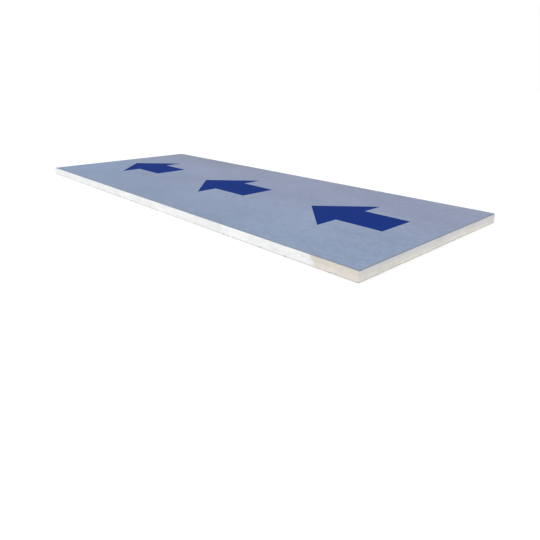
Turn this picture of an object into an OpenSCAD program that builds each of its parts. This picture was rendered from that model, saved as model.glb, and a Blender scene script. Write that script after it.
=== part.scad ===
// Foil-faced polyiso insulation board: a rigid foam core with a foil laminate
// facer bonded over each broad face. All four edges are trimmed square through
// the whole lamination, so the cream foam shows between the two facers.
//
// Origin: centre of the underside. +X runs along the length, +Y across the
// width, +Z up through the thickness. All lengths are in millimetres.

/* [Board] */
// Length of the board, ten feet
board_length = 3048; // [1219.2:304.8:3657.6]
// Width of the board, four feet
board_width = 1219.2; // [406.4:203.2:1219.2]
// Thickness over both facers, two inches
board_thickness = 50.8; // [12.7:6.35:101.6]

/* [Facers] */
// Thickness of the foil laminate on the upper face
top_facer_thickness = 0.3; // [0.15:0.05:0.6]
// Thickness of the foil laminate on the underside
bottom_facer_thickness = 0.3; // [0.15:0.05:0.6]

/* [Hidden] */

core_thickness = board_thickness - top_facer_thickness - bottom_facer_thickness;
core_bottom = bottom_facer_thickness;
top_facer_bottom = core_bottom + core_thickness;

// One layer of the lamination, trimmed to the board's outline.
module layer(bottom, thickness) {
    translate([0, 0, bottom])
        linear_extrude(height = thickness)
            square([board_length, board_width], center = true);
}

// Closed-cell polyisocyanurate foam, foamed between the two facers.
module foam_core() {
    color("#DED6CB")
        layer(core_bottom, core_thickness);
}

// Foil laminate on the side that faces up.
module top_facer() {
    color("#92A0B8")
        layer(top_facer_bottom, top_facer_thickness);
}

// Foil laminate on the side that lies on the floor.
module bottom_facer() {
    color("#A9B1BF")
        layer(0, bottom_facer_thickness);
}

foam_core();
top_facer();
bottom_facer();
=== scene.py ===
"""Looks of a foil-faced polyiso insulation board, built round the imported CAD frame.

Three pieces stand for the three CAD layers: the foam core with its saw-cut edges, and the two
foil facers. Everything is in metres in the row frame: +X along the length, +Y across the width,
+Z up through the thickness, with the origin at the centre of the underside. The near side is at
-Y and the right-hand end at +X.
"""

import math
import random
from types import SimpleNamespace

import bpy
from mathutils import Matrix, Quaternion, Vector, noise


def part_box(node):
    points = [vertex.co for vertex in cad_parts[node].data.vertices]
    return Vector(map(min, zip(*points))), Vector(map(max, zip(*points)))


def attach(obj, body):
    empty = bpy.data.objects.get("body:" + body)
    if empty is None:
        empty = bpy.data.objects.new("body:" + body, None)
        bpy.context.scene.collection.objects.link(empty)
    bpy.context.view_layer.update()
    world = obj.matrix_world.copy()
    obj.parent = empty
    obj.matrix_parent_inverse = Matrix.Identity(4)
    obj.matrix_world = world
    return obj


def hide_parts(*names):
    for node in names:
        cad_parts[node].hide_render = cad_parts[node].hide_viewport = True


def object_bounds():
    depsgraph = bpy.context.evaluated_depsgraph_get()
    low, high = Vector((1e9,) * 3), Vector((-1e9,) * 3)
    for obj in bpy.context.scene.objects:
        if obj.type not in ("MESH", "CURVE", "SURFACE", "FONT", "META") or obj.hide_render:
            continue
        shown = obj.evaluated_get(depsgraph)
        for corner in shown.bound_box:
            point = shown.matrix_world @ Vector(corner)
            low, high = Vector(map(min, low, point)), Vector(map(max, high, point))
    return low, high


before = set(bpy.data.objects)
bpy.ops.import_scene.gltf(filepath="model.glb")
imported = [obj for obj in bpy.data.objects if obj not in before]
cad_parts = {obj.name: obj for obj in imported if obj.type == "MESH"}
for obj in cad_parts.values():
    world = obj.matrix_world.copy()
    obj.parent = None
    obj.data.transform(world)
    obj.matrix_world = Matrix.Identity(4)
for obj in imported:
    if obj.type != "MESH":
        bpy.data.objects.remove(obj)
cad_low, cad_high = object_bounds()

MM = 0.001

# The board, from the frame
HALF_LENGTH = cad_high.x
HALF_WIDTH = cad_high.y
THICKNESS = cad_high.z
TOP_FACER_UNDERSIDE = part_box("top_facer")[0].z
BOTTOM_FACER_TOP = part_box("bottom_facer")[1].z


# ---------------------------------------------------------------- shape of the trimmed board

# The waves of a facer's outer face, slowest first: their pace along and across the board, their
# depth, and an offset that keeps their patterns apart
FACER_WAVES = (
    (1.3, 2.1, 0.22 * MM, 0.0),
    (5.0, 7.0, 0.26 * MM, 7.3),
    (17.0, 21.0, 0.15 * MM, 3.1),
)
FACER_MEAN_DIP = 0.50 * MM

# The foil's edge, rolled over where it was trimmed
ROLLED_DEPTH = 0.35 * MM
ROLLED_REACH = 3.5 * MM

# The waves of a trimmed edge, slowest first: their pace along it, their depth, and an offset
# that keeps their patterns apart
TRIM_WAVES = (
    (1.7, 0.35 * MM, 0.5),
    (19.0, 0.20 * MM, 4.5),
    (140.0, 0.18 * MM, 8.5),
)
TRIM_MEAN_INSET = 0.55 * MM

# How far in from an edge its trim still moves the points of a facer
TRIM_FADE = 60 * MM

# Where each side's own pattern lies in the noise
SIDE_SEEDS = {"near": 0.0, "right": 10.0, "far": 20.0, "left": 30.0}

# How far in from an edge its closely spaced points lie, and where the even ones start
EDGE_STEPS = (0.0, 1.2 * MM, 2.6 * MM, 4.6 * MM, 8.0 * MM, 14.0 * MM)
EDGE_BAND = 22.0 * MM


def bell(distance, reach):
    """1 at distance 0, about an eighth at reach, and almost nothing at twice reach."""
    return math.exp(-((distance / reach) ** 2) * 2)


def smooth(value):
    """0 to 1 with a soft start and end."""
    value = max(0.0, min(1.0, value))
    return value * value * (3 - 2 * value)


def seeded_dents(seed, count, depth_range, reach_range):
    """Shallow dents, as (x, y, reach, depth), spread over one face."""
    draw = random.Random(seed)
    dents = []
    for _ in range(count):
        x = draw.uniform(-HALF_LENGTH, HALF_LENGTH)
        y = draw.uniform(-HALF_WIDTH, HALF_WIDTH)
        dents.append((x, y, draw.uniform(*reach_range), draw.uniform(*depth_range)))
    return dents


def corner_dents(depths, reach):
    """A crushed corner at each of the four corners, in the order near right, far right,
    far left, near left."""
    places = [(1, -1), (1, 1), (-1, 1), (-1, -1)]
    return [
        (sx * HALF_LENGTH, sy * HALF_WIDTH, reach, depth)
        for (sx, sy), depth in zip(places, depths)
    ]


TOP_DENTS = seeded_dents(
    seed=11, count=26, depth_range=(0.25 * MM, 0.9 * MM), reach_range=(12 * MM, 45 * MM)
)
TOP_DENTS += corner_dents(depths=(0.9 * MM, 1.6 * MM, 1.0 * MM, 0.8 * MM), reach=14 * MM)
BOTTOM_DENTS = seeded_dents(
    seed=23, count=20, depth_range=(0.25 * MM, 0.8 * MM), reach_range=(12 * MM, 40 * MM)
)
BOTTOM_DENTS += corner_dents(depths=(1.2 * MM, 0.8 * MM, 1.2 * MM, 1.0 * MM), reach=12 * MM)


def edge_distance(x, y):
    """How far in from the nearest edge of the nominal outline a point is."""
    return min(HALF_LENGTH - abs(x), HALF_WIDTH - abs(y))


def face_dip(x, y, dents, seed):
    """How far a facer's outer face lies inside the CAD face, in metres. It is never negative,
    so that the board keeps its box: slow waves, pillowing and quilting, dents, and the foil
    rolled over where it was trimmed."""
    dip = FACER_MEAN_DIP
    for pace_along, pace_across, depth, offset in FACER_WAVES:
        place = Vector((x * pace_along, y * pace_across, seed + offset))
        dip += depth * noise.noise(place)
    for dent_x, dent_y, reach, depth in dents:
        distance = math.hypot(x - dent_x, y - dent_y)
        if distance < 2 * reach:
            dip += depth * bell(distance, reach)
    dip += ROLLED_DEPTH * bell(max(0.0, edge_distance(x, y)), ROLLED_REACH)
    return max(0.0, dip)


def top_dip(x, y):
    return face_dip(x, y, TOP_DENTS, seed=1.7)


def bottom_dip(x, y):
    return face_dip(x, y, BOTTOM_DENTS, seed=9.4)


def trim_inset(side, along):
    """How far the trimmed edge lies inside the CAD outline: the saw wandered a little."""
    inset = TRIM_MEAN_INSET
    for pace, depth, offset in TRIM_WAVES:
        place = Vector((along * pace, SIDE_SEEDS[side], offset))
        inset += depth * noise.noise(place)
    return max(0.0, inset)


def trimmed(x, y):
    """A point inside the nominal outline, drawn in near the edges to the real trimmed one."""
    share_x = smooth(1 - (HALF_LENGTH - abs(x)) / TRIM_FADE)
    share_y = smooth(1 - (HALF_WIDTH - abs(y)) / TRIM_FADE)
    end = "right" if x > 0 else "left"
    side = "far" if y > 0 else "near"
    new_x = x - math.copysign(trim_inset(end, y) * share_x, x)
    new_y = y - math.copysign(trim_inset(side, x) * share_y, y)
    return new_x, new_y


def spaced(half, inner_step):
    """Places from -half to half, close together near both ends and even between them."""
    inner_half = half - EDGE_BAND
    count = math.ceil(2 * inner_half / inner_step)
    inner = [-inner_half + 2 * inner_half * i / count for i in range(count + 1)]
    low = [-half + step for step in EDGE_STEPS]
    high = [half - step for step in reversed(EDGE_STEPS)]
    return low + inner + high


# ---------------------------------------------------------------- meshes and baking maps

# The share of a baking map that its hidden faces get, and the gap round each patch of it
HIDDEN_SHARE = 0.06
MAP_GAP = 0.004


def finish_mesh(name, points, faces, flat=()):
    """A mesh piece from points and faces, smooth shaded apart from the faces listed in flat."""
    mesh = bpy.data.meshes.new(name)
    mesh.from_pydata(points, [], faces)
    mesh.validate()
    for face in mesh.polygons:
        face.use_smooth = True
    for index in flat:
        mesh.polygons[index].use_smooth = False
    mesh.update()
    piece = bpy.data.objects.new(name, mesh)
    bpy.context.scene.collection.objects.link(piece)
    return piece


def map_for_baking(piece, place):
    """The UV map that an export bakes the materials through. place(face, vertex) gives the map
    place, from 0 to 1 each way, of a face's corner; the faces that show get nearly all of it."""
    layer = piece.data.uv_layers.new(name="OFBake")
    for face in piece.data.polygons:
        for corner in face.loop_indices:
            vertex = piece.data.loops[corner].vertex_index
            layer.data[corner].uv = place(face.index, vertex)


def plan_place(point, low, high):
    """A map place straight above a point of the board, with the board's width laid from low to
    high."""
    along = 0.5 + 0.5 * point[0] / HALF_LENGTH
    across = 0.5 + 0.5 * point[1] / HALF_WIDTH
    u = MAP_GAP + (1 - 2 * MAP_GAP) * along
    return u, low + MAP_GAP + (high - low - 2 * MAP_GAP) * across


# ---------------------------------------------------------------- foil facers

FACER_STEP = 14 * MM


def sheet_faces(columns, rows, flipped):
    """The faces of a closed sheet between an outer and an inner grid of points, which are
    numbered outer grid first and column by column. flipped turns them inside out."""
    offset = columns * rows
    last_row = rows - 1
    last_column = (columns - 1) * rows
    faces = []

    def quad(a, b, c, d):
        faces.append((d, c, b, a) if flipped else (a, b, c, d))

    for i in range(columns - 1):
        for j in range(rows - 1):
            a = i * rows + j
            b = a + rows
            quad(a, b, b + 1, a + 1)
            quad(offset + a + 1, offset + b + 1, offset + b, offset + a)
    for i in range(columns - 1):
        a = i * rows
        b = a + rows
        quad(offset + a, offset + b, b, a)
        quad(b + last_row, offset + b + last_row, offset + a + last_row, a + last_row)
    for j in range(rows - 1):
        quad(j, j + 1, offset + j + 1, offset + j)
        a = last_column + j
        quad(offset + a, offset + a + 1, a + 1, a)
    return faces


def facer_sheet(name, outer_z, inner_z, dip_at):
    """One foil facer: a closed thin sheet whose outer face follows dip_at."""
    xs = spaced(HALF_LENGTH, FACER_STEP)
    ys = spaced(HALF_WIDTH, FACER_STEP)
    inward = math.copysign(1, inner_z - outer_z)
    outer = []
    inner = []
    for x in xs:
        for y in ys:
            new_x, new_y = trimmed(x, y)
            dip = dip_at(x, y)
            outer.append((new_x, new_y, outer_z + inward * dip))
            inner.append((new_x, new_y, inner_z + inward * dip))
    faces = sheet_faces(len(xs), len(ys), flipped=inward > 0)
    sheet = finish_mesh(name, outer + inner, faces)

    def place(face, vertex):
        """The outer face and the rims lie on the large patch, the inner face on the hidden one."""
        hidden = min(faces[face]) >= len(outer)
        low, high = (0.0, HIDDEN_SHARE) if hidden else (HIDDEN_SHARE, 1.0)
        return plan_place(outer[vertex % len(outer)], low, high)

    map_for_baking(sheet, place)
    return sheet


# ---------------------------------------------------------------- foam core

# Where bits have broken out of the cut sides: their heights as shares of the thickness, most of
# them at the two arrises, the ranges of their reach and depth, how much flatter than round they
# are, and how quickly their ragged surface changes
CHIP_HEIGHTS = (0.0, 0.02, 0.05, 0.08, 0.3, 0.6, 0.94, 0.98)
CHIP_REACH = (4 * MM, 12 * MM)
CHIP_DEPTH = (0.8 * MM, 3.6 * MM)
CHIP_FLATNESS = 1.6
CHIP_RAGGED_PACE = 210.0

# How far inside the trimmed edge the cut foam lies: on average, by the slanted waves that the
# saw left, and by its torn cells, with the pace of both along and up a cut side
CUT_MEAN_INSET = 0.30 * MM
SAW_DEPTH = 0.25 * MM
SAW_PACE = 60.0
SAW_SLANT = 35.0
SAW_RISE = 9.0
TORN_DEPTH = 0.35 * MM
TORN_PACE = 150.0
TORN_RISE = 170.0
TORN_OFFSET = 2.5

# How round each foam corner is worn at the top, by the signs of x and y there, and the share of
# that at its foot. The far right one is broken away under the foil, which keeps its tip.
CORNER_RADII = {(1, -1): 1.4 * MM, (1, 1): 10.0 * MM, (-1, 1): 4.0 * MM, (-1, -1): 3.5 * MM}
WORN_AT_FOOT = 0.45

# The even steps between the columns of points, and the heights of the rows as shares of the
# foam's thickness, closer together near the facers
SIDE_STEP = 4 * MM
END_STEP = 3.2 * MM
ROW_HEIGHTS = [0.0, 0.02, 0.05, 0.10]
ROW_HEIGHTS += [0.10 + 0.80 * i / 12 for i in range(1, 13)]
ROW_HEIGHTS += [0.95, 0.98, 1.0]

# The caps lie this far in from the cut sides and this far inside the CAD facers
TUCK_IN = 16 * MM
TUCK_DOWN = 1.6 * MM

# On the baking map the cut sides lie in bands. Each has room past its end for the last column
# that starts in it, which is more than the widest gap between two columns.
BANDS = 12
BAND_ROOM = 14 * MM

OUTWARD = {
    "near": Vector((0, -1)),
    "right": Vector((1, 0)),
    "far": Vector((0, 1)),
    "left": Vector((-1, 0)),
}


def seeded_chips(seed, count, half):
    """Bits of foam broken out of one cut side, as (along, height, reach, depth)."""
    draw = random.Random(seed)
    chips = []
    for _ in range(count):
        along = draw.uniform(-half, half)
        height = draw.choice(CHIP_HEIGHTS) * THICKNESS
        reach = draw.uniform(*CHIP_REACH)
        depth = draw.uniform(*CHIP_DEPTH)
        chips.append((along, height, reach, depth))
    return chips


CHIPS = {
    "near": seeded_chips(seed=5, count=64, half=HALF_LENGTH),
    "far": seeded_chips(seed=6, count=64, half=HALF_LENGTH),
    "right": seeded_chips(seed=7, count=34, half=HALF_WIDTH),
    "left": seeded_chips(seed=8, count=34, half=HALF_WIDTH),
}


def foam_inset(side, along, height):
    """How far the cut foam lies inside the CAD side: trimmed edge, saw waves, torn cells, chips."""
    seed = SIDE_SEEDS[side]
    saw_place = Vector((along * SAW_PACE + height * SAW_SLANT, seed, height * SAW_RISE))
    torn_place = Vector((along * TORN_PACE, seed + TORN_OFFSET, height * TORN_RISE))
    saw = SAW_DEPTH * noise.noise(saw_place)
    torn = TORN_DEPTH * noise.noise(torn_place)
    inset = trim_inset(side, along) + CUT_MEAN_INSET + saw + torn
    for chip_along, chip_height, reach, depth in CHIPS[side]:
        distance = math.hypot(along - chip_along, (height - chip_height) * CHIP_FLATNESS)
        if distance < 2 * reach:
            ragged_place = Vector((along * CHIP_RAGGED_PACE, seed, height * CHIP_RAGGED_PACE))
            ragged = 0.75 + 0.5 * noise.noise(ragged_place)
            inset += depth * bell(distance, reach) * ragged
    return max(0.0, inset)


def loop_places():
    """Places round the board's outline, anticlockwise from above: (x, y, side). Each side
    starts at its own corner, and its last place is just short of the next side's corner."""
    near = [(x, -HALF_WIDTH, "near") for x in spaced(HALF_LENGTH, SIDE_STEP)[:-1]]
    right = [(HALF_LENGTH, y, "right") for y in spaced(HALF_WIDTH, END_STEP)[:-1]]
    far = [(-x, HALF_WIDTH, "far") for x in spaced(HALF_LENGTH, SIDE_STEP)[:-1]]
    left = [(-HALF_LENGTH, -y, "left") for y in spaced(HALF_WIDTH, END_STEP)[:-1]]
    return near + right + far + left


def worn_corner(x, y, share):
    """A nominal outline point moved onto its corner's worn round, and the outward direction
    there, or None where the point isn't in a corner. share is 0 at the foot and 1 at the top."""
    sign_x = math.copysign(1, x)
    sign_y = math.copysign(1, y)
    worn = WORN_AT_FOOT + (1 - WORN_AT_FOOT) * share
    radius = CORNER_RADII[(sign_x, sign_y)] * worn
    centre = Vector((sign_x * (HALF_LENGTH - radius), sign_y * (HALF_WIDTH - radius)))
    offset = Vector((x, y)) - centre
    if offset.x * sign_x <= 0 or offset.y * sign_y <= 0:
        return None
    outward = offset.normalized()
    return centre + outward * radius, outward


def cut_side_points(places):
    """The points of the cut sides, column by column round the outline, each from the foot up."""
    points = []
    for x, y, side in places:
        top = TOP_FACER_UNDERSIDE - top_dip(x, y)
        bottom = BOTTOM_FACER_TOP + bottom_dip(x, y)
        along = x if side in ("near", "far") else y
        for share in ROW_HEIGHTS:
            z = bottom + (top - bottom) * share
            worn = worn_corner(x, y, share)
            place, outward = worn if worn else (Vector((x, y)), OUTWARD[side])
            place = place - outward * foam_inset(side, along, z)
            points.append((place.x, place.y, z))
    return points


def tucked_in(points, z):
    """Points drawn in from the cut sides, all at one height."""
    shrink_x = 1 - TUCK_IN / HALF_LENGTH
    shrink_y = 1 - TUCK_IN / HALF_WIDTH
    return [(x * shrink_x, y * shrink_y, z) for x, y, _ in points]


def foam_faces(columns, rows):
    """The faces of the foam block: the cut sides, the slopes in to the caps, and the two caps,
    which come last."""
    top_start = columns * rows
    bottom_start = top_start + columns
    faces = []
    for i in range(columns):
        a = i * rows
        b = ((i + 1) % columns) * rows
        for j in range(rows - 1):
            faces.append((a + j, b + j, b + j + 1, a + j + 1))
    for i in range(columns):
        n = (i + 1) % columns
        faces.append((i * rows + rows - 1, n * rows + rows - 1, top_start + n, top_start + i))
        faces.append((n * rows, i * rows, bottom_start + i, bottom_start + n))
    faces.append(tuple(range(top_start, top_start + columns)))
    faces.append(tuple(reversed(range(bottom_start, bottom_start + columns))))
    return faces


def travelled_round(places):
    """How far round the outline each place is, and at the end the whole way round."""
    travelled = [0.0]
    for i, (x, y, _) in enumerate(places):
        next_x, next_y, _ = places[(i + 1) % len(places)]
        travelled.append(travelled[i] + math.hypot(next_x - x, next_y - y))
    return travelled


def foam_map(points, places):
    """The function that places the foam's corners on its baking map: the cut sides in bands,
    one above the other, and the rest on two hidden strips."""
    rows = len(ROW_HEIGHTS)
    columns = len(places)
    travelled = travelled_round(places)
    band_length = travelled[columns] / BANDS
    band_height = (1 - HIDDEN_SHARE) / BANDS

    def hidden_place(point):
        low, high = (0.0, HIDDEN_SHARE / 2)
        if point[2] < THICKNESS / 2:
            low, high = (HIDDEN_SHARE / 2, HIDDEN_SHARE)
        return plan_place(point, low, high)

    def place(face, vertex):
        if face >= columns * (rows - 1):
            return hidden_place(points[vertex])
        column = face // (rows - 1)
        band = min(BANDS - 1, int(travelled[column] / band_length))
        back_at_start = column == columns - 1 and vertex < rows
        along = travelled[columns if back_at_start else vertex // rows] - band * band_length
        u = MAP_GAP + (1 - 2 * MAP_GAP) * along / (band_length + BAND_ROOM)
        low = HIDDEN_SHARE + band * band_height + MAP_GAP
        return u, low + (band_height - 2 * MAP_GAP) * ROW_HEIGHTS[vertex % rows]

    return place


def foam_block(name):
    """The foam core: cut sides with real relief, and caps tucked in behind the facers."""
    rows = len(ROW_HEIGHTS)
    places = loop_places()
    points = cut_side_points(places)
    bottom_row = points[::rows]
    top_row = points[rows - 1::rows]
    points += tucked_in(top_row, TOP_FACER_UNDERSIDE - TUCK_DOWN)
    points += tucked_in(bottom_row, BOTTOM_FACER_TOP + TUCK_DOWN)
    faces = foam_faces(len(places), rows)
    caps = (len(faces) - 2, len(faces) - 1)
    block = finish_mesh(name, points, faces, flat=caps)
    map_for_baking(block, foam_map(points, places))
    return block


# ---------------------------------------------------------------- node helpers

# Most values of a noise, and of a mean of noises, lie between these
NOISE_SPAN = (0.38, 0.62)


def new_material(name):
    material = bpy.data.materials.new(name)
    material.use_nodes = True
    tree = material.node_tree
    return material, tree, tree.nodes["Principled BSDF"]


def feed(tree, socket, value):
    """Links value to socket if it is a socket, and otherwise sets it."""
    if isinstance(value, bpy.types.NodeSocket):
        tree.links.new(value, socket)
    else:
        socket.default_value = value


def maths(tree, operation, a, b=0.0, c=0.0):
    node = tree.nodes.new("ShaderNodeMath")
    node.operation = operation
    for socket, value in zip(node.inputs, (a, b, c)):
        feed(tree, socket, value)
    return node.outputs[0]


def weighted(tree, parts, total=0.0):
    """The sum of parts, each a value and its weight, added to total."""
    for value, weight in parts:
        total = maths(tree, "MULTIPLY_ADD", value, weight, total)
    return total


def ramp(tree, value, low, high, out_low=0.0, out_high=1.0):
    """value from low..high to out_low..out_high, with soft ends."""
    node = tree.nodes.new("ShaderNodeMapRange")
    node.interpolation_type = "SMOOTHSTEP"
    for name, setting in (("Value", value), ("From Min", low), ("From Max", high),
                          ("To Min", out_low), ("To Max", out_high)):
        feed(tree, node.inputs[name], setting)
    return node.outputs["Result"]


def stretched(tree, coordinates, scale, turn=0.0):
    """Coordinates turned about Z and scaled, for grain that runs one way."""
    node = tree.nodes.new("ShaderNodeMapping")
    node.inputs["Rotation"].default_value = (0, 0, turn)
    node.inputs["Scale"].default_value = scale
    tree.links.new(coordinates, node.inputs["Vector"])
    return node.outputs["Vector"]


def noise_of(tree, coordinates, scale, detail=2.0, roughness=0.5):
    node = tree.nodes.new("ShaderNodeTexNoise")
    node.inputs["Scale"].default_value = scale
    node.inputs["Detail"].default_value = detail
    node.inputs["Roughness"].default_value = roughness
    tree.links.new(coordinates, node.inputs["Vector"])
    return node.outputs["Fac"]


def warped(tree, coordinates, scale, amount):
    """Coordinates pushed about by a noise, by 0 to amount along each axis."""
    push = tree.nodes.new("ShaderNodeTexNoise")
    push.inputs["Scale"].default_value = scale
    push.inputs["Detail"].default_value = 2.0
    tree.links.new(coordinates, push.inputs["Vector"])
    node = tree.nodes.new("ShaderNodeVectorMath")
    node.operation = "MULTIPLY_ADD"
    tree.links.new(push.outputs["Color"], node.inputs[0])
    node.inputs[1].default_value = (amount, amount, amount)
    tree.links.new(coordinates, node.inputs[2])
    return node.outputs["Vector"]


def cells_of(tree, coordinates, scale, feature="F1"):
    """The distance to the nearest cell's point or, with DISTANCE_TO_EDGE, to its wall, as a
    share of a cell's width."""
    node = tree.nodes.new("ShaderNodeTexVoronoi")
    node.feature = feature
    node.inputs["Scale"].default_value = scale
    tree.links.new(coordinates, node.inputs["Vector"])
    return node.outputs["Distance"]


def scattered_pits(tree, coordinates, spacing, share, smallest, largest):
    """1 in round pits, all sizes in metres, that lie about spacing apart before all but a share
    of them are dropped."""
    node = tree.nodes.new("ShaderNodeTexVoronoi")
    node.inputs["Scale"].default_value = 1 / spacing
    tree.links.new(coordinates, node.inputs["Vector"])
    split = tree.nodes.new("ShaderNodeSeparateColor")
    tree.links.new(node.outputs["Color"], split.inputs[0])
    kept = maths(tree, "LESS_THAN", split.outputs[0], share)
    spread = (largest - smallest) / spacing
    radius = maths(tree, "MULTIPLY_ADD", split.outputs[1], spread, smallest / spacing)
    depth = maths(tree, "SUBTRACT", 1.0, maths(tree, "DIVIDE", node.outputs["Distance"], radius))
    return maths(tree, "MULTIPLY", ramp(tree, depth, 0.0, 0.5), kept)


def shade_of(tint, factors):
    """A fixed colour: tint with its red, green and blue each times its own factor."""
    return tuple(min(1.0, c * f) for c, f in zip(tint, factors)) + (1.0,)


def blend_colour(tree, share, a, b):
    """Colour a where share is 0 and colour b where it is 1."""
    node = tree.nodes.new("ShaderNodeMix")
    node.data_type = "RGBA"
    feed(tree, node.inputs["Factor"], share)
    feed(tree, node.inputs[6], a)
    feed(tree, node.inputs[7], b)
    return node.outputs[2]


def tinted(tree, share, colour, tint):
    """A colour multiplied by tint where share is 1."""
    node = tree.nodes.new("ShaderNodeMix")
    node.data_type = "RGBA"
    node.blend_type = "MULTIPLY"
    feed(tree, node.inputs["Factor"], share)
    tree.links.new(colour, node.inputs[6])
    node.inputs[7].default_value = tint
    return node.outputs[2]


def scaled_colour(tree, colour, amount):
    """A colour times a number."""
    node = tree.nodes.new("ShaderNodeVectorMath")
    node.operation = "SCALE"
    tree.links.new(colour, node.inputs[0])
    feed(tree, node.inputs["Scale"], amount)
    return node.outputs["Vector"]


def varied(tree, colour, share, gain, base=1.0):
    """A colour times base where share is 0, and times base plus gain where it is 1."""
    return scaled_colour(tree, colour, maths(tree, "MULTIPLY_ADD", share, gain, base))


def relief(tree, height, distance, strength, below=None):
    """A bump from height, laid on the bump below it."""
    node = tree.nodes.new("ShaderNodeBump")
    node.inputs["Strength"].default_value = strength
    node.inputs["Distance"].default_value = distance
    tree.links.new(height, node.inputs["Height"])
    if below is not None:
        tree.links.new(below, node.inputs["Normal"])
    return node.outputs["Normal"]


def place_of(tree):
    """The point in the row frame, and its x, y and z."""
    coordinates = tree.nodes.new("ShaderNodeTexCoord").outputs["Object"]
    split = tree.nodes.new("ShaderNodeSeparateXYZ")
    tree.links.new(coordinates, split.inputs[0])
    return coordinates, split.outputs[0], split.outputs[1], split.outputs[2]


# ---------------------------------------------------------------- printed arrows

# Plain handling arrows that point to the left-hand end, at an even pitch along the board
ARROW_PITCH = 2 * HALF_LENGTH / 3
ARROW_LENGTH = 0.56
ARROW_HEAD_LENGTH = 0.28
ARROW_HEAD_HALF_WIDTH = 0.27
ARROW_SHAFT_HALF_WIDTH = 0.125

# How soft the ink's edge is, and how far it bled
INK_SOFTNESS = 0.8 * MM
INK_BLEED = 1.6 * MM

INK_DARKER = (0.0085, 0.028, 0.172, 1.0)
INK_LIGHTER = (0.012, 0.0365, 0.212, 1.0)
INK_METALLIC = 0.18


def arrow_mask(tree, coordinates, x, y):
    """1 inside the printed arrows and 0 outside, with a very slightly ragged ink edge."""
    bleed = noise_of(tree, coordinates, scale=420.0)
    bleed = maths(tree, "MULTIPLY_ADD", bleed, INK_BLEED, -INK_BLEED / 2)
    along = maths(tree, "WRAP", x, ARROW_PITCH / 2, -ARROW_PITCH / 2)
    along = maths(tree, "ADD", maths(tree, "MULTIPLY", along, -1.0), bleed)
    across = maths(tree, "ADD", maths(tree, "ABSOLUTE", y), bleed)
    tip = ARROW_LENGTH / 2
    neck = tip - ARROW_HEAD_LENGTH
    slope = ARROW_HEAD_HALF_WIDTH / ARROW_HEAD_LENGTH
    soft = INK_SOFTNESS
    from_tip = maths(tree, "SUBTRACT", tip, along)
    head_room = maths(tree, "SUBTRACT", maths(tree, "MULTIPLY", from_tip, slope), across)
    in_head = ramp(tree, head_room, -soft, soft)
    past_neck = ramp(tree, along, neck - soft, neck + soft)
    head = maths(tree, "MULTIPLY", in_head, past_neck)
    in_shaft = ramp(tree, across, ARROW_SHAFT_HALF_WIDTH + soft, ARROW_SHAFT_HALF_WIDTH - soft)
    past_tail = ramp(tree, along, -tip - soft, -tip + soft)
    before_neck = ramp(tree, along, neck + 3 * soft, neck + soft)
    shaft = maths(tree, "MULTIPLY", maths(tree, "MULTIPLY", in_shaft, past_tail), before_neck)
    return maths(tree, "MAXIMUM", head, shaft)


def with_missed_specks(tree, coordinates, mask):
    """An ink mask, thinner in the specks that the print missed."""
    specks = noise_of(tree, coordinates, scale=260.0, detail=3.0, roughness=0.7)
    missed = maths(tree, "MULTIPLY", ramp(tree, specks, 0.70, 0.78), 0.7)
    return maths(tree, "MULTIPLY", mask, maths(tree, "SUBTRACT", 1.0, missed))


# ---------------------------------------------------------------- foil

# The colour of the foil on the printed face, its own grey with a painted blue reflection of the
# sky, and on the plain underside, and at grazing angles
FOIL_AND_SKY_TINT = (0.313, 0.378, 0.511)
UNDERSIDE_TINT = (0.38, 0.43, 0.52)
GRAZING_TINT = (0.52, 0.56, 0.64, 1.0)


def foil_grain(tree, coordinates):
    """The foil's own grain: clouds and mottling, streaks and fine lines from the rollers, the
    embossed pebbles, and the finest grain."""
    wide = stretched(tree, coordinates, (0.9, 1.6, 1.0))
    rolled = stretched(tree, coordinates, (0.5, 26.0, 1.0))
    lined = stretched(tree, coordinates, (9.0, 850.0, 1.0))
    lumpy = warped(tree, coordinates, scale=90.0, amount=8.0 * MM)
    return SimpleNamespace(
        clouds=noise_of(tree, wide, scale=1.6, detail=3.0),
        mottle=noise_of(tree, coordinates, scale=34.0, detail=4.0, roughness=0.6),
        streaks=noise_of(tree, rolled, scale=3.0, detail=4.0, roughness=0.65),
        brushed=noise_of(tree, lined, scale=1.0, detail=3.0, roughness=0.6),
        pebble=cells_of(tree, lumpy, scale=150.0, feature="SMOOTH_F1"),
        finest=noise_of(tree, coordinates, scale=700.0),
    )


def foil_colour(tree, grain, tint):
    """The foil's colour over its clouds, streaks and mottling."""
    parts = ((grain.clouds, 0.30), (grain.streaks, 0.26), (grain.mottle, 0.44))
    tone = ramp(tree, weighted(tree, parts), *NOISE_SPAN)
    darker = shade_of(tint, (0.90, 0.90, 0.90))
    lighter = shade_of(tint, (1.12, 1.10, 1.07))
    return blend_colour(tree, tone, darker, lighter)


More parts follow.
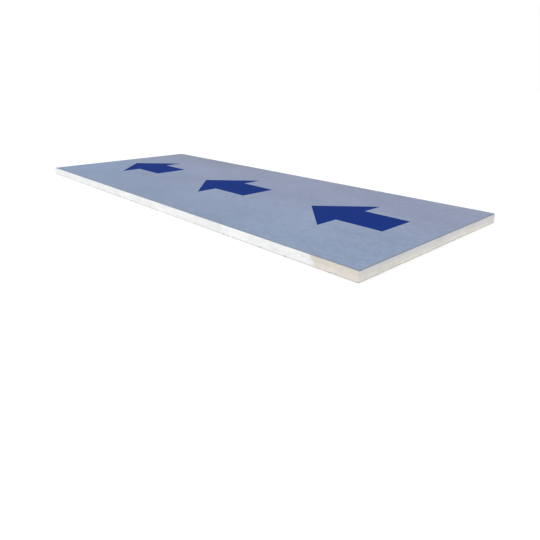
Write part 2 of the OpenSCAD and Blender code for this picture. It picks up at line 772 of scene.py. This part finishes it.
def painted_reflection_drift(tree, coordinates, x, y, colour):
    """Painted reflection on the upper foil, changing slowly over the board: bluer at the left-hand
    end, a duller grey in the far left corner, a little darker in the near right one, and a little
    warmer towards the far edge."""
    wander = maths(tree, "MULTIPLY_ADD", noise_of(tree, coordinates, scale=1.9), 0.40, -0.20)
    leftward = maths(tree, "MULTIPLY_ADD", x, -0.5 / HALF_LENGTH, wander)
    colour = tinted(tree, ramp(tree, leftward, 0.05, 0.52), colour, (0.95, 1.03, 1.07, 1.0))
    far_left = maths(tree, "MULTIPLY_ADD", y, 0.5 / HALF_WIDTH, leftward)
    colour = tinted(tree, ramp(tree, far_left, 0.30, 1.00), colour, (0.96, 0.88, 0.81, 1.0))
    rightward = maths(tree, "MULTIPLY", x, 0.5 / HALF_LENGTH)
    near_right = maths(tree, "MULTIPLY_ADD", y, -0.5 / HALF_WIDTH, rightward)
    colour = tinted(tree, ramp(tree, near_right, 0.35, 0.95), colour, (0.93, 0.94, 0.96, 1.0))
    to_far_edge = ramp(tree, y, -HALF_WIDTH, HALF_WIDTH)
    return tinted(tree, to_far_edge, colour, (1.08, 0.97, 0.95, 1.0))


def crease_masks(tree, coordinates):
    """A few broken creases in the foil: 1 on each, and 1 on the wider shade beside it."""
    crumpled = warped(tree, coordinates, scale=3.0, amount=50.0 * MM)
    walls = cells_of(tree, crumpled, scale=2.9, feature="DISTANCE_TO_EDGE")
    broken = ramp(tree, noise_of(tree, coordinates, scale=5.2, detail=3.0), 0.52, 0.64)
    crease = maths(tree, "MULTIPLY", ramp(tree, walls, 0.0050, 0.0012), broken)
    shade = maths(tree, "MULTIPLY", ramp(tree, walls, 0.016, 0.004), broken)
    return crease, shade


def scuff_mask(tree, coordinates):
    """1 on fine scratches that run two ways, in patches."""
    one_way = stretched(tree, coordinates, (5.0, 190.0, 1.0), turn=0.42)
    one_way = noise_of(tree, one_way, scale=1.0, roughness=0.7)
    other_way = stretched(tree, coordinates, (7.0, 230.0, 1.0), turn=-0.9)
    other_way = noise_of(tree, other_way, scale=1.0, roughness=0.7)
    one_way = ramp(tree, one_way, 0.70, 0.76)
    other_way = ramp(tree, other_way, 0.72, 0.78)
    patches = ramp(tree, noise_of(tree, coordinates, scale=3.1), 0.52, 0.68)
    return maths(tree, "MULTIPLY", maths(tree, "MAXIMUM", one_way, other_way), patches)


def edge_masks(tree, coordinates, x, y):
    """1 in the handled band along the edges, and 1 on the line at the trimmed edge, which is
    rougher and painted with shade.
    """
    end_gap = maths(tree, "SUBTRACT", HALF_LENGTH, maths(tree, "ABSOLUTE", x))
    side_gap = maths(tree, "SUBTRACT", HALF_WIDTH, maths(tree, "ABSOLUTE", y))
    gap = maths(tree, "MINIMUM", end_gap, side_gap)
    uneven = noise_of(tree, coordinates, scale=55.0, detail=3.0)
    gap = maths(tree, "MULTIPLY_ADD", uneven, 3.0 * MM, gap)
    handled = ramp(tree, gap, 26.0 * MM, 5.0 * MM)
    trim_line_and_shade = ramp(tree, gap, 8.5 * MM, 4.5 * MM)
    return handled, trim_line_and_shade


def foil_relief(tree, coordinates, grain, crease):
    """The foil's bumps, from its wrinkles down to its finest grain."""
    wrinkles = noise_of(tree, coordinates, scale=75.0, detail=4.0, roughness=0.55)
    normal = relief(tree, wrinkles, distance=0.9 * MM, strength=0.35)
    normal = relief(tree, crease, distance=0.5 * MM, strength=0.60, below=normal)
    normal = relief(tree, grain.pebble, distance=0.35 * MM, strength=0.30, below=normal)
    normal = relief(tree, grain.brushed, distance=0.10 * MM, strength=0.25, below=normal)
    return relief(tree, grain.finest, distance=0.10 * MM, strength=0.30, below=normal)


def foil_material(name, tint, printed):
    """Satin aluminium foil laminate: cloudy patches, rolled streaks, fine brushed lines and pebbled
    embossing, with creases, scuffs, a handled band and dull trimmed edges, and with the dark blue
    ink of the arrows where it is printed. Its colour also holds painted light: painted shade in the
    pebbles' hollows, a painted highlight on each crease with painted shade beside it, painted shade
    on the trimmed edges, and on the printed face a painted reflection that drifts over the board."""
    material, tree, shader = new_material(name)
    coordinates, x, y, _ = place_of(tree)
    grain = foil_grain(tree, coordinates)
    crease, crease_shade = crease_masks(tree, coordinates)
    scuffs = scuff_mask(tree, coordinates)
    handled, trim_line_and_shade = edge_masks(tree, coordinates, x, y)

    colour = foil_colour(tree, grain, tint)
    if printed:
        # Painted reflection drifting over the printed face.
        colour = painted_reflection_drift(tree, coordinates, x, y, colour)
    # The brushed grain, and painted shade in the hollows of the pebble embossing.
    fine = weighted(tree, ((grain.brushed, 0.30), (grain.pebble, 0.16)), total=0.79)
    colour = scaled_colour(tree, colour, fine)
    # Painted shade beside each crease, and a painted highlight on the crease itself.
    colour = varied(tree, colour, crease_shade, gain=-0.06)
    colour = varied(tree, colour, crease, gain=0.15)
    for mask, amount, factors in (
        (scuffs, 0.6, (1.25, 1.25, 1.25)),
        (handled, 0.8, (0.99, 0.96, 0.90)),
        # painted shade of the rolled-over trimmed edge
        (trim_line_and_shade, 0.9, (0.62, 0.57, 0.50)),
    ):
        share = maths(tree, "MULTIPLY", mask, amount)
        colour = blend_colour(tree, share, colour, shade_of(tint, factors))

    metallic = 1.0
    parts = ((grain.mottle, 0.12), (grain.streaks, 0.08), (grain.brushed, 0.08), (trim_line_and_shade, 0.18))
    roughness = weighted(tree, parts, total=0.22)
    if printed:
        arrows = arrow_mask(tree, coordinates, x, y)
        ink = with_missed_specks(tree, coordinates, arrows)
        ink_colour = blend_colour(tree, grain.mottle, INK_DARKER, INK_LIGHTER)
        colour = blend_colour(tree, ink, colour, scaled_colour(tree, ink_colour, fine))
        metallic = maths(tree, "MULTIPLY_ADD", ink, INK_METALLIC - 1.0, 1.0)
        roughness = maths(tree, "MULTIPLY_ADD", ink, 0.08, roughness)

    feed(tree, shader.inputs["Base Color"], colour)
    feed(tree, shader.inputs["Metallic"], metallic)
    feed(tree, shader.inputs["Roughness"], roughness)
    feed(tree, shader.inputs["Normal"], foil_relief(tree, coordinates, grain, crease))
    shader.inputs["Specular IOR Level"].default_value = 0.0
    shader.inputs["Specular Tint"].default_value = GRAZING_TINT
    return material


# ---------------------------------------------------------------- foam

# The foam's colours: near-white on the long sides, which is painted bounce light, and on the cream
# and the end faces, which are its own colours, one at the underside and one at the upper facer, the
# lower one lighter as painted bounce light and the upper one darker as painted shade
PAINTED_BOUNCE_FOAM = (0.832, 0.836, 0.840, 1.0)
CREAM_LOW = (0.762, 0.710, 0.668, 1.0)
CREAM_HIGH = (0.645, 0.610, 0.535, 1.0)
END_LOW = (0.728, 0.697, 0.644, 1.0)
END_HIGH = (0.576, 0.569, 0.582, 1.0)
SKIN_COLOUR = (0.66, 0.57, 0.45, 1.0)
# Painted shade inside the pits and voids
PIT_SHADE_TINT = (0.74, 0.69, 0.62, 1.0)

# How thick the skin of dense foam against each facer looks, and how strongly it is coloured
SKIN_DEPTH = 2.6 * MM
SKIN_STRENGTH = 0.25

# The foam's own cream next to the right-hand end, where the painted bounce light of the long sides
# stops: how far in it reaches on the near long side, how soft its boundary is there, how far that
# wanders and how much it leans, and how far in the cream of the far long side reaches and how
# strong it is at the end
NEAR_CREAM_REACH = 0.25
NEAR_CREAM_SOFTNESS = 30 * MM
CREAM_WANDER = 0.12
CREAM_LEAN = 0.6
FAR_CREAM_REACH = 0.46
FAR_CREAM_STRENGTH = 0.7


def foam_grain(tree, coordinates):
    """The foam's own grain: patches, the faint layers that it rose in, mottling, saw lines, and
    the finest grain."""
    layered = stretched(tree, coordinates, (9.0, 9.0, 85.0))
    sawn = stretched(tree, coordinates, (130.0, 130.0, 14.0))
    return SimpleNamespace(
        patches=noise_of(tree, coordinates, scale=7.0, detail=3.0, roughness=0.55),
        layers=noise_of(tree, layered, scale=1.0, detail=3.0, roughness=0.55),
        mottle=noise_of(tree, coordinates, scale=60.0, detail=4.0, roughness=0.65),
        saw=noise_of(tree, sawn, scale=1.0, detail=3.0, roughness=0.6),
        finest=noise_of(tree, coordinates, scale=520.0, detail=4.0, roughness=0.7),
    )


def foam_holes(tree, coordinates):
    """1 in the small pits and in the fewer, larger voids."""
    pits = scattered_pits(
        tree, warped(tree, coordinates, scale=60.0, amount=9.0 * MM),
        spacing=4.5 * MM, share=0.30, smallest=0.4 * MM, largest=1.1 * MM,
    )
    voids = scattered_pits(
        tree, warped(tree, coordinates, scale=200.0, amount=4.0 * MM),
        spacing=24.0 * MM, share=0.16, smallest=0.9 * MM, largest=2.4 * MM,
    )
    return maths(tree, "MAXIMUM", pits, voids)


def past_painted_bounce_mask(tree, grain, x, y, z):
    """Where the painted bounce light on the long sides gives way to their own cream next to the
    right-hand end: the near one fully, with a sharp slanted change, and the far one gradually."""
    from_right = maths(tree, "SUBTRACT", HALF_LENGTH, x)
    from_right = maths(tree, "MULTIPLY_ADD", grain.patches, CREAM_WANDER, from_right)
    from_right = maths(tree, "MULTIPLY_ADD", z, -CREAM_LEAN, from_right)
    near = ramp(tree, from_right, NEAR_CREAM_REACH + NEAR_CREAM_SOFTNESS, NEAR_CREAM_REACH)
    near = maths(tree, "MULTIPLY", near, maths(tree, "LESS_THAN", y, 0.0))
    far = ramp(tree, from_right, FAR_CREAM_REACH, 0.0, 0.0, FAR_CREAM_STRENGTH)
    far = maths(tree, "MULTIPLY", far, maths(tree, "GREATER_THAN", y, 0.0))
    return maths(tree, "MAXIMUM", near, far)


def end_mask(tree, x):
    """1 on the two cut ends."""
    from_end = maths(tree, "SUBTRACT", HALF_LENGTH, maths(tree, "ABSOLUTE", x))
    return ramp(tree, from_end, 9.0 * MM, 5.0 * MM)


def skin_mask(tree, grain, z):
    """1 in the thin, dense skin of the foam against each facer."""
    to_top = maths(tree, "SUBTRACT", TOP_FACER_UNDERSIDE, z)
    to_bottom = maths(tree, "SUBTRACT", z, BOTTOM_FACER_TOP)
    to_facer = maths(tree, "MINIMUM", to_top, to_bottom)
    to_facer = maths(tree, "MULTIPLY_ADD", grain.mottle, 1.2 * MM, to_facer)
    return ramp(tree, to_facer, SKIN_DEPTH, 1.2 * MM)


def foam_relief(tree, coordinates, grain, holes):
    """The cut foam's bumps, from its lumps down to its cells."""
    hollows = maths(tree, "MULTIPLY", holes, -1.0)
    cells = cells_of(tree, coordinates, scale=800.0)
    normal = relief(tree, grain.mottle, distance=1.4 * MM, strength=0.5)
    normal = relief(tree, grain.saw, distance=0.5 * MM, strength=0.25, below=normal)
    normal = relief(tree, hollows, distance=0.8 * MM, strength=0.7, below=normal)
    normal = relief(tree, grain.finest, distance=0.35 * MM, strength=0.5, below=normal)
    return relief(tree, cells, distance=0.3 * MM, strength=0.4, below=normal)


def foam_material(name):
    """Closed-cell polyiso foam: finely celled, cut faces with faint layers, fainter saw lines, pits
    and voids with painted shade in them, and a denser, yellower skin against each facer. The long
    sides are painted nearly white with bounce light, which stops next to the right-hand end, where
    they show the foam's own cream; both ends are a duller grey-cream; and the cream and the end
    faces are painted lighter at the foot as bounce light and darker towards the upper facer as
    shade."""
    material, tree, shader = new_material(name)
    coordinates, x, y, z = place_of(tree)
    grain = foam_grain(tree, coordinates)
    holes = foam_holes(tree, coordinates)

    # Painted bounce light and shade: the cream and end colours darken from the underside up to the
    # upper facer.
    rise = ramp(tree, z, 0.0, THICKNESS)
    cream = blend_colour(tree, rise, CREAM_LOW, CREAM_HIGH)
    dull = blend_colour(tree, rise, END_LOW, END_HIGH)
    # The long sides are painted near-white with bounce light, except next to the right-hand end.
    colour = blend_colour(tree, past_painted_bounce_mask(tree, grain, x, y, z), PAINTED_BOUNCE_FOAM, cream)
    colour = blend_colour(tree, end_mask(tree, x), colour, dull)
    parts = (
        (grain.patches, 0.24),
        (grain.layers, 0.22),
        (grain.mottle, 0.22),
        (grain.saw, 0.08),
        (grain.finest, 0.24),
    )
    tone = ramp(tree, weighted(tree, parts), *NOISE_SPAN, 0.91, 1.09)
    colour = scaled_colour(tree, colour, tone)
    colour = varied(tree, colour, grain.finest, gain=0.44, base=0.78)
    # Painted shade in the pits and voids.
    colour = tinted(tree, holes, colour, PIT_SHADE_TINT)
    skin = maths(tree, "MULTIPLY", skin_mask(tree, grain, z), SKIN_STRENGTH)
    colour = blend_colour(tree, skin, colour, SKIN_COLOUR)
    roughness = maths(tree, "MULTIPLY_ADD", grain.mottle, 0.12, 0.80)

    feed(tree, shader.inputs["Base Color"], colour)
    feed(tree, shader.inputs["Roughness"], roughness)
    feed(tree, shader.inputs["Normal"], foam_relief(tree, coordinates, grain, holes))
    return material


# ---------------------------------------------------------------- pieces

def place_piece(piece, material, node):
    """Gives a piece its material, and has it ride on the board in place of its CAD node."""
    piece.data.materials.clear()
    piece.data.materials.append(material)
    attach(piece, "root")
    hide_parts(node)


core = foam_block("foam_core_cut")
place_piece(core, foam_material("polyiso_foam"), "foam_core")

upper = facer_sheet("top_foil_sheet", THICKNESS, TOP_FACER_UNDERSIDE, top_dip)
# The printed foil's tint holds a painted reflection of the sky.
printed_foil = foil_material("printed_foil", FOIL_AND_SKY_TINT, printed=True)
place_piece(upper, printed_foil, "top_facer")

lower = facer_sheet("bottom_foil_sheet", 0.0, BOTTOM_FACER_TOP, bottom_dip)
plain_foil = foil_material("plain_foil", UNDERSIDE_TINT, printed=False)
place_piece(lower, plain_foil, "bottom_facer")


# ---------------------------------------------------------------- stage, light and camera

FLOOR_SIZE = 80.0
FLOOR_COLOUR = (0.84, 0.84, 0.84, 1.0)
FLOOR_GLOW = 0.18
WORLD_LEVEL = 0.76

# How wide each lamp is, in degrees
SUN_SPREAD = 90


def seen_directly(tree):
    """1 for camera, glossy and transmission rays, and 0 for the rest."""
    path = tree.nodes.new("ShaderNodeLightPath")
    direct = maths(tree, "MAXIMUM", path.outputs["Is Camera Ray"], path.outputs["Is Glossy Ray"])
    return maths(tree, "MAXIMUM", direct, path.outputs["Is Transmission Ray"])


def make_floor(size, colour, glow):
    """A pale matt floor that also glows a little to the camera, so that it shows white apart
    from the board's shadow."""
    half = size / 2
    corners = [(-half, -half, 0), (half, -half, 0), (half, half, 0), (-half, half, 0)]
    mesh = bpy.data.meshes.new("floor")
    mesh.from_pydata(corners, [], [(0, 1, 2, 3)])
    floor = bpy.data.objects.new("floor", mesh)
    bpy.context.scene.collection.objects.link(floor)
    material, tree, shader = new_material("pale_floor")
    shader.inputs["Base Color"].default_value = colour
    shader.inputs["Roughness"].default_value = 1.0
    shader.inputs["Specular IOR Level"].default_value = 0.0
    shader.inputs["Emission Color"].default_value = (1, 1, 1, 1)
    strength = maths(tree, "MULTIPLY", seen_directly(tree), glow)
    feed(tree, shader.inputs["Emission Strength"], strength)
    mesh.materials.append(material)


def make_world(level):
    """A white world at a plain level, seen as full white directly and in reflections."""
    world = bpy.data.worlds.new("studio")
    bpy.context.scene.world = world
    world.use_nodes = True
    tree = world.node_tree
    background = tree.nodes["Background"]
    background.inputs["Color"].default_value = (1, 1, 1, 1)
    strength = maths(tree, "MULTIPLY_ADD", seen_directly(tree), 1.0 - level, level)
    feed(tree, background.inputs["Strength"], strength)


def direction_from(azimuth, elevation):
    """The direction from the board towards a camera or lamp; azimuth 0 is on the -Y side and
    90 on the +X side."""
    a = math.radians(azimuth)
    e = math.radians(elevation)
    return Vector((math.sin(a) * math.cos(e), -math.cos(a) * math.cos(e), math.sin(e)))


def make_soft_sun(name, azimuth, elevation, level):
    """A soft lamp from azimuth and elevation, in degrees, that lights a white surface facing it
    to level."""
    lamp = bpy.data.lights.new(name, "SUN")
    lamp.energy = level * math.pi
    lamp.angle = math.radians(SUN_SPREAD)
    holder = bpy.data.objects.new(name, lamp)
    holder.rotation_mode = "QUATERNION"
    holder.rotation_quaternion = direction_from(azimuth, elevation).to_track_quat("Z", "Y")
    bpy.context.scene.collection.objects.link(holder)


def make_camera():
    """The photograph's view: over the near corner, along the board. Angles are in degrees, and
    the lens and sensor in millimetres."""
    azimuth = 46.61
    elevation = 22.02
    roll = 0.28
    lens = 30.79
    sensor = 36.0
    near_corner = Vector((HALF_LENGTH, -HALF_WIDTH, THICKNESS))
    stand = Vector((0.9287, -1.3367, 0.6467))
    data = bpy.data.cameras.new("camera")
    data.lens = lens
    data.sensor_width = sensor
    camera = bpy.data.objects.new("camera", data)
    camera.rotation_mode = "QUATERNION"
    camera.location = near_corner + stand
    level = direction_from(azimuth, elevation).to_track_quat("Z", "Y")
    camera.rotation_quaternion = level @ Quaternion((0, 0, 1), math.radians(roll))
    bpy.context.scene.collection.objects.link(camera)
    bpy.context.scene.camera = camera


bpy.context.scene.view_settings.view_transform = "Standard"
make_floor(FLOOR_SIZE, FLOOR_COLOUR, FLOOR_GLOW)
make_world(WORLD_LEVEL)
make_soft_sun("key", azimuth=5, elevation=36, level=0.30)
make_soft_sun("fill", azimuth=100, elevation=34, level=0.15)
make_soft_sun("back", azimuth=225, elevation=55, level=0.08)
make_camera()
